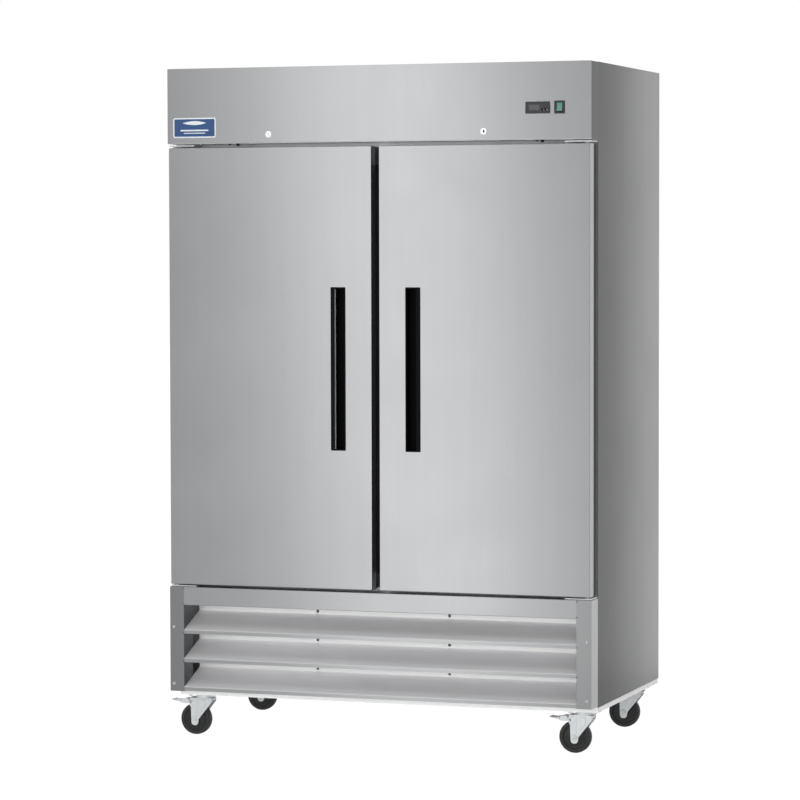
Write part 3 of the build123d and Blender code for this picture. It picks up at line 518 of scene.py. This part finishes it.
def stepped_plate(name, rings):
    """A plate in the X-Z plane from rings of (y, x0, x1, z0, z1, r), joined in turn and closed at both ends."""
    verts, faces = [], []
    n = None
    for y, x0, x1, z0, z1, r in rings:
        pts = round_rect(x0, x1, z0, z1, r)
        n = len(pts)
        verts += [(x, y, z) for x, z in pts]
    for i in range(len(rings) - 1):
        for j in range(n):
            k = (j + 1) % n
            faces.append((i * n + j, i * n + k, (i + 1) * n + k, (i + 1) * n + j))
    faces.append(tuple(range(n))[::-1])
    faces.append(tuple((len(rings) - 1) * n + j for j in range(n)))
    me = bpy.data.meshes.new(name)
    me.from_pydata(verts, [], faces)
    bm = bmesh.new()
    bm.from_mesh(me)
    bmesh.ops.recalc_face_normals(bm, faces=bm.faces)
    bm.to_mesh(me)
    bm.free()
    return me


def shrink(b, d):
    return (b[0] + d, b[1] - d, b[2] + d, b[3] - d)


lo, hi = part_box("badge_plate")
bx = (lo.x, hi.x, lo.z, hi.z)
rings = [
    (hi.y, *shrink(bx, 0.0), 0.006), (lo.y + 0.0004, *shrink(bx, 0.0), 0.006), (lo.y + 0.0001, *shrink(bx, 0.0003), 0.0058),
    (lo.y, *shrink(bx, 0.0008), 0.0054), (lo.y, *shrink(bx, 0.0034), 0.0036), (lo.y + 0.0002, *shrink(bx, 0.0038), 0.0034),
    (lo.y + 0.0005, *shrink(bx, 0.0040), 0.0032),
]
me = stepped_plate("badge", rings)
badge = piece("badge", me, "cabinet", "badge_rim", "badge")
for p in me.polygons:
    p.use_smooth = len(p.vertices) == 4
    if len(p.vertices) > 4 and p.center.y < lo.y + 0.0007:
        p.material_index = 1
w = badge.modifiers.new("shading", "WEIGHTED_NORMAL")
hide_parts("badge_plate")
zc = lo.z + 0.37 * (hi.z - lo.z)
for i, (dz, half, hh) in enumerate(((0.0, 0.047, 0.0022), (-0.0085, 0.036, 0.0013))):
    cx = (lo.x + hi.x) / 2
    b = (cx - half, cx + half, zc + dz - hh, zc + dz + hh)
    me = stepped_plate("badge_line_%d" % (i + 1), [(lo.y + 0.0005, *b, hh * 0.98), (lo.y + 0.00028, *b, hh * 0.98), (lo.y + 0.0002, *shrink(b, 0.0002), hh * 0.85)])
    o = piece("badge_line_%d" % (i + 1), me, "cabinet", "badge_rim")

# a plain pale lens shape above the lines
cx, cz = (lo.x + hi.x) / 2, lo.z + 0.74 * (hi.z - lo.z)
verts, faces = [], []
n = 24
for y, k in ((lo.y + 0.0005, 1.0), (lo.y + 0.00028, 1.0), (lo.y + 0.0002, 0.9)):
    for i in range(n):
        a = 2 * math.pi * i / n
        c, q = math.cos(a), math.sin(a)
        verts.append((cx + k * 0.040 * abs(c) ** 1.0 * (1 if c > 0 else -1), y, cz + k * 0.0062 * abs(q) ** 2.2 * (1 if q > 0 else -1)))
for r in range(2):
    for i in range(n):
        j = (i + 1) % n
        faces.append((r * n + i, r * n + j, (r + 1) * n + j, (r + 1) * n + i))
faces.append(tuple(range(n))[::-1])
faces.append(tuple(2 * n + i for i in range(n)))
me = bpy.data.meshes.new("badge_lens")
me.from_pydata(verts, [], faces)
bm = bmesh.new()
bm.from_mesh(me)
bmesh.ops.recalc_face_normals(bm, faces=bm.faces)
bm.to_mesh(me)
bm.free()
o = piece("badge_lens", me, "cabinet", "badge_rim")

# ---------------------------------------------------------------------------
# Door handles: one moulding each, with flange, finger lip and undercut pocket
# ---------------------------------------------------------------------------
for side, sg in (("left", -1), ("right", 1)):
    node = side + "_door_handle"
    lo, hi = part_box(node)
    inner, outer = (hi.x, lo.x) if sg < 0 else (lo.x, hi.x)

    def band(a, b, za, zb, y, r):
        """Ring at depth y; a and b are measured in from the latch side and the hinge side."""
        xa, xb = inner + sg * a, outer - sg * b
        return (y, min(xa, xb), max(xa, xb), lo.z + za, hi.z - zb, r)

    f, back = lo.y, hi.y
    rings = [
        band(0.0015, 0.0015, 0.0015, 0.0015, back, 0.0012),
        band(0.0015, 0.0015, 0.0015, 0.0015, f + 0.0012, 0.0012),
        band(0.0, 0.0, 0.0, 0.0, f + 0.0012, 0.003),
        band(0.0, 0.0, 0.0, 0.0, f + 0.0006, 0.003),
        band(0.00018, 0.00018, 0.00018, 0.00018, f + 0.00018, 0.0029),
        band(0.0006, 0.0006, 0.0006, 0.0006, f, 0.0026),
        band(0.0034, 0.0134, 0.0039, 0.0039, f, 0.0022),
        band(0.0038, 0.0138, 0.0043, 0.0043, f + 0.0002, 0.0018),
        band(0.0040, 0.0140, 0.0045, 0.0045, f + 0.0006, 0.0016),
        band(0.0040, 0.0140, 0.0045, 0.0045, f + 0.0096, 0.0016),
        band(0.0040, 0.0137, 0.0045, 0.0045, f + 0.0102, 0.0016),
        band(0.0040, 0.0035, 0.0045, 0.0045, f + 0.0102, 0.0016),
        band(0.0040, 0.0035, 0.0045, 0.0045, back - 0.0035, 0.0016),
        band(0.0052, 0.0047, 0.0057, 0.0057, back - 0.0021, 0.0010),
    ]
    me = stepped_plate(side + "_handle_moulding", rings)
    o = piece(side + "_handle_moulding", me, side + "_door", "handle_black", "pocket_painted_shade", "lip_painted_highlight")
    for p in me.polygons:
        p.use_smooth = len(p.vertices) == 4
        c, nn = p.center, p.normal
        # painted shade inside the pocket
        if c.y > f + 0.00145 and lo.x + 0.003 < c.x < hi.x - 0.003 and lo.z + 0.004 < c.z < hi.z - 0.004:
            p.material_index = 1
        # painted highlight along the left handle's lip
        if sg < 0 and nn.x > 0.8 and f + 0.0002 < c.y < f + 0.0100 and abs(c.x - (outer + 0.014)) < 0.0012:
            p.material_index = 2
    w = o.modifiers.new("shading", "WEIGHTED_NORMAL")
    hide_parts(node)

# ---------------------------------------------------------------------------
# Screws under the header's bottom fold
# ---------------------------------------------------------------------------
hlo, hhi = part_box("header_panel")


def lathe_z(name, cx, cy, z0, profile, n=20):
    """Closed solid of revolution about a vertical axis from (radius, drop) pairs."""
    verts, faces = [], []
    for r, d in profile:
        for i in range(n):
            a = 2 * math.pi * i / n
            verts.append((cx + r * math.cos(a), cy + r * math.sin(a), z0 - d))
    for k in range(len(profile) - 1):
        for i in range(n):
            j = (i + 1) % n
            faces.append((k * n + i, k * n + j, (k + 1) * n + j, (k + 1) * n + i))
    faces.append(tuple(range(n))[::-1])
    faces.append(tuple((len(profile) - 1) * n + i for i in range(n)))
    me = bpy.data.meshes.new(name)
    me.from_pydata(verts, [], faces)
    bm = bmesh.new()
    bm.from_mesh(me)
    bmesh.ops.recalc_face_normals(bm, faces=bm.faces)
    bm.to_mesh(me)
    bm.free()
    for p in me.polygons:
        p.use_smooth = len(p.vertices) == 4
    return me


for i, (x, r) in enumerate(((-0.4790, 0.0036), (-0.4520, 0.0056), (0.5150, 0.0036), (0.5310, 0.0056))):
    k = 1.25 * r / 0.0056
    prof = [(r * 0.55, -0.0008), (r * 0.55, 0.0), (r, 0.0), (r, 0.0026 * k), (r * 0.93, 0.0042 * k), (r * 0.74, 0.0056 * k), (r * 0.46, 0.0062 * k), (r * 0.42, 0.0062 * k), (r * 0.40, 0.0040 * k)]
    me = lathe_z("header_screw_%d" % (i + 1), x, hlo.y + 0.0065, hlo.z, prof)
    o = piece("header_screw_%d" % (i + 1), me, "cabinet", "dark_screw")

# ---------------------------------------------------------------------------
# Controller display: unlit segments under the window
# ---------------------------------------------------------------------------
wlo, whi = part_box("controller_housing")
x0, z0 = wlo.x + 0.008, wlo.z + 0.007
ydisp = wlo.y + 0.00017
verts, faces = [], []


def bar(ax, az, bx_, bz, t):
    """A flat bar with pointed ends from a to b."""
    d = Vector((bx_ - ax, bz - az))
    u = d.normalized()
    v = Vector((-u.y, u.x)) * (t / 2)
    e = u * (t / 2)
    pts = [(ax, az), (ax + e.x + v.x, az + e.y + v.y), (bx_ - e.x + v.x, bz - e.y + v.y), (bx_, bz), (bx_ - e.x - v.x, bz - e.y - v.y), (ax + e.x - v.x, az + e.y - v.y)]
    i = len(verts)
    for x, z in pts:
        verts.append((x, ydisp, z))
    for x, z in pts:
        verts.append((x, ydisp - 0.00005, z))
    faces.append(tuple(range(i + 6, i + 12)))
    faces.append(tuple(range(i + 5, i - 1, -1)))
    for k in range(6):
        faces.append((i + k, i + (k + 1) % 6, i + 6 + (k + 1) % 6, i + 6 + k))


for k in range(3):
    cx = x0 + 0.0085 + k * 0.0105
    w_, h_ = 0.0064, 0.0130
    zb = z0 + 0.0050
    g = 0.0004
    for a_, b_ in (((0, 0), (1, 0)), ((0, 1), (1, 1)), ((0, 2), (1, 2)), ((0, 0), (0, 1)), ((0, 1), (0, 2)), ((1, 0), (1, 1)), ((1, 1), (1, 2))):
        p0 = (cx - w_ / 2 + a_[0] * w_, zb + a_[1] * h_ / 2)
        p1 = (cx - w_ / 2 + b_[0] * w_, zb + b_[1] * h_ / 2)
        d = Vector((p1[0] - p0[0], p1[1] - p0[1])).normalized() * g
        bar(p0[0] + d.x, p0[1] + d.y, p1[0] - d.x, p1[1] - d.y, 0.0013)
me = bpy.data.meshes.new("display_segments")
me.from_pydata(verts, [], faces)
bm = bmesh.new()
bm.from_mesh(me)
bmesh.ops.recalc_face_normals(bm, faces=bm.faces)
bm.to_mesh(me)
bm.free()
o = piece("display_segments", me, "cabinet", "segment")

# ---------------------------------------------------------------------------
# Floor, lights, world
# ---------------------------------------------------------------------------
floor_mesh = bpy.data.meshes.new("floor")
floor_mesh.from_pydata([(-40, -40, 0), (40, -40, 0), (40, 40, 0), (-40, 40, 0)], [], [(0, 1, 2, 3)])
floor = bpy.data.objects.new("floor", floor_mesh)
scene.collection.objects.link(floor)
tf = Tree("floor_pale")
cl = tf.noise(tf.co, scale=1.7, detail=3.0)
v = tf.math("MULTIPLY_ADD", cl, 0.02, 0.89)
tf.set("Base Color", tf.n("CombineXYZ", {"X": v, "Y": v, "Z": v}).outputs[0])
tf.set("Roughness", 0.8)
# pale sweep: reads almost white, with only a trace of shadow
glow = tf.n("Emission", {"Color": (1, 1, 1, 1), "Strength": 1.06}).outputs[0]
ray = tf.n("LightPath").outputs["Is Camera Ray"]
both = tf.n("MixShader")
tf.nt.links.new(tf.math("MULTIPLY", ray, 0.93), both.inputs[0])
tf.nt.links.new(tf.b.outputs[0], both.inputs[1])
tf.nt.links.new(glow, both.inputs[2])
tf.nt.links.new(both.outputs[0], tf.out.inputs["Surface"])
floor_mesh.materials.append(tf.m)


def area(name, loc, target, size, size_y, power, color=(1, 1, 1)):
    d = bpy.data.lights.new(name, "AREA")
    d.shape = "RECTANGLE"
    d.size, d.size_y = size, size_y
    d.energy = power
    d.color = color
    o = bpy.data.objects.new(name, d)
    scene.collection.objects.link(o)
    o.location = loc
    o.rotation_euler = (Vector(target) - Vector(loc)).to_track_quat("-Z", "Y").to_euler()
    o.visible_camera = False
    return o


front = area("front_softbox", (-0.58, -2.40, 1.40), (-0.58, 0.0, 1.40), 0.80, 3.2, 9)
front.rotation_euler.rotate_axis("Z", radians(5.0))
rear = area("rear_softbox", (0.55, 2.40, 1.40), (0.55, 0.0, 1.40), 1.2, 3.0, 12)
fill = area("top_softbox", (0.3, -1.6, 5.2), (0, 0, 0.5), 5.0, 4.0, 200)
fill.visible_glossy = False
low = area("low_fill", (0.4, -5.0, 0.9), (0.0, -0.3, 0.35), 4.0, 1.6, 120)
low.visible_glossy = False
floor.visible_glossy = False

world = bpy.data.worlds.new("studio")
scene.world = world
world.use_nodes = True
wt = world.node_tree
wt.nodes.clear()
wo = wt.nodes.new("ShaderNodeOutputWorld")
lp = wt.nodes.new("ShaderNodeLightPath")


def background(colour, strength):
    n = wt.nodes.new("ShaderNodeBackground")
    n.inputs[0].default_value = colour
    n.inputs[1].default_value = strength
    return n.outputs[0]


def choose(fac, a, b):
    n = wt.nodes.new("ShaderNodeMixShader")
    wt.links.new(fac, n.inputs[0])
    wt.links.new(a, n.inputs[1])
    wt.links.new(b, n.inputs[2])
    return n.outputs[0]


out = choose(lp.outputs["Is Glossy Ray"], background((1, 1, 1, 1), 0.85), background((0.985, 0.99, 1.0, 1), 0.50))
out = choose(lp.outputs["Is Camera Ray"], out, background((1, 1, 1, 1), 1.0))
wt.links.new(out, wo.inputs[0])

scene.view_settings.view_transform = "Standard"
scene.view_settings.look = "None"
